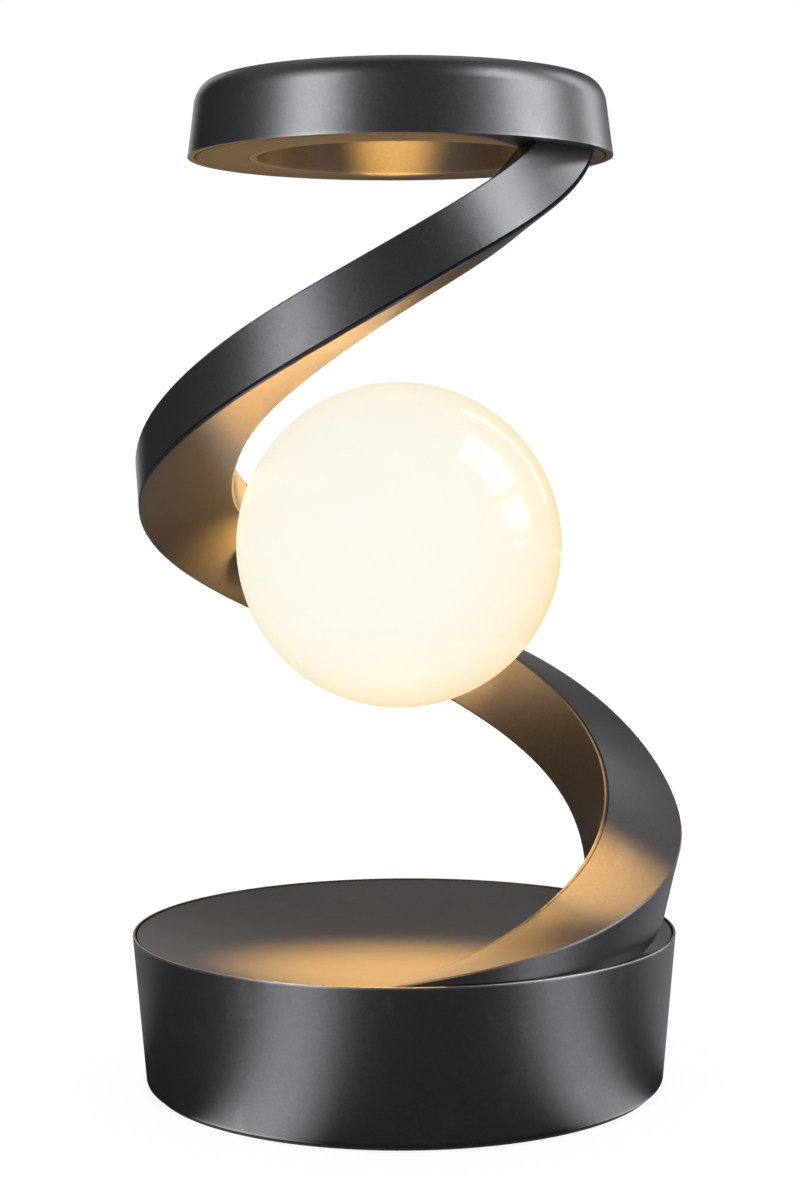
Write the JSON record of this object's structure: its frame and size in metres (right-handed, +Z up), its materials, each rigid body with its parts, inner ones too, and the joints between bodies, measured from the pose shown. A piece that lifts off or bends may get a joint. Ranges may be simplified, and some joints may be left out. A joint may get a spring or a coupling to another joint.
{
  "type": "magnetic balance lamp",
  "caption": "Table lamp: a low dished drum base, one twisting arm that climbs once round a lit globe to a plain ring; the globe hangs on a magnetic seat behind it and lifts off.",
  "frame": {"origin": "centre of the foot pad's underside, on the table under the drum's axis", "axes": "+Z up along the drum's axis, -Y towards the front, where the arm rises out of the dish; +X to the right as seen from the front"},
  "size_m": [0.1528, 0.1525, 0.2762],
  "materials": {
    "graphite_paint": "satin powder coat",
    "foot_rubber": "matt",
    "cover_black": "matt",
    "screw_steel": "plain zinc",
    "cast_ballast": "as cast",
    "brass": "turned",
    "board_green": "satin",
    "chip_black": "matt",
    "can_aluminium": "drawn",
    "white_plastic": "matt",
    "black_plastic": "matt",
    "inlet_steel": "tinned",
    "lead_sleeving": "matt",
    "seat_steel": "turned",
    "magnet_nickel": "nickel plated",
    "opal_plastic": "smooth opal, lit from inside",
    "strike_steel": "nickel plated",
    "post_aluminium": "turned",
    "board_white": "satin",
    "lamp_yellow": "clear resin over phosphor"
  },
  "bodies": {
    "stand": {"base_housing": "graphite_paint", "foot_pad": "foot_rubber", "bottom_cover": "cover_black", "cover_screws": "screw_steel", "dish_plate": "graphite_paint", "lead_grommet": "foot_rubber", "foot_screws": "screw_steel", "ballast_plate": "cast_ballast", "board_spacers": "brass", "board_screws": "screw_steel", "driver_board": "board_green", "board_inductor": "chip_black", "board_capacitors": "can_aluminium", "board_chips": "chip_black", "lead_connector": "white_plastic", "rear_panel": "black_plastic", "power_inlet": "inlet_steel", "inlet_tongue": "black_plastic", "push_switch": "chip_black", "arm_shell": "graphite_paint", "arm_cover": "graphite_paint", "arm_lead": "lead_sleeving", "seat_cup": "seat_steel", "seat_magnet": "magnet_nickel", "contact_block": "black_plastic", "pin_barrels": "brass", "ring_shell": "graphite_paint", "ring_underplate": "graphite_paint", "ring_screws": "screw_steel"},
    "power_button": {"button_cap": "black_plastic", "switch_plunger": "white_plastic"},
    "contact_pins": {"contact_pins": "brass"},
    "globe_unit": {"globe_collar": "white_plastic", "strike_plate": "strike_steel", "pad_carrier": "white_plastic", "contact_pads": "brass", "post_screws": "screw_steel", "led_post": "post_aluminium", "led_board": "board_white", "led_packages": "lamp_yellow"},
    "globe_shade": {"globe_shade": "opal_plastic"}
  },
  "joints": [
    {"name": "globe_pull_off", "type": "slide", "parent": "stand", "child": "globe_unit", "axis": [0.6992, -0.7131, 0.0513], "range_m": [0, 0.05]},
    {"name": "shade_bayonet", "type": "hinge", "parent": "globe_unit", "child": "globe_shade", "pos_m": [-0.0009, 0, 0.15], "axis": [-0.6992, 0.7131, -0.0513], "range_deg": [0, 60]},
    {"name": "power_button_press", "type": "slide", "parent": "stand", "child": "power_button", "axis": [0, -1, 0], "range_m": [0, 0.0015], "stiffness_N_per_m": 400, "springref_m": -0.002},
    {"name": "contact_pins_press", "type": "slide", "parent": "stand", "child": "contact_pins", "axis": [-0.6992, 0.7131, -0.0513], "range_m": [0, 0.0008], "stiffness_N_per_m": 300, "springref_m": -0.001}
  ]
}
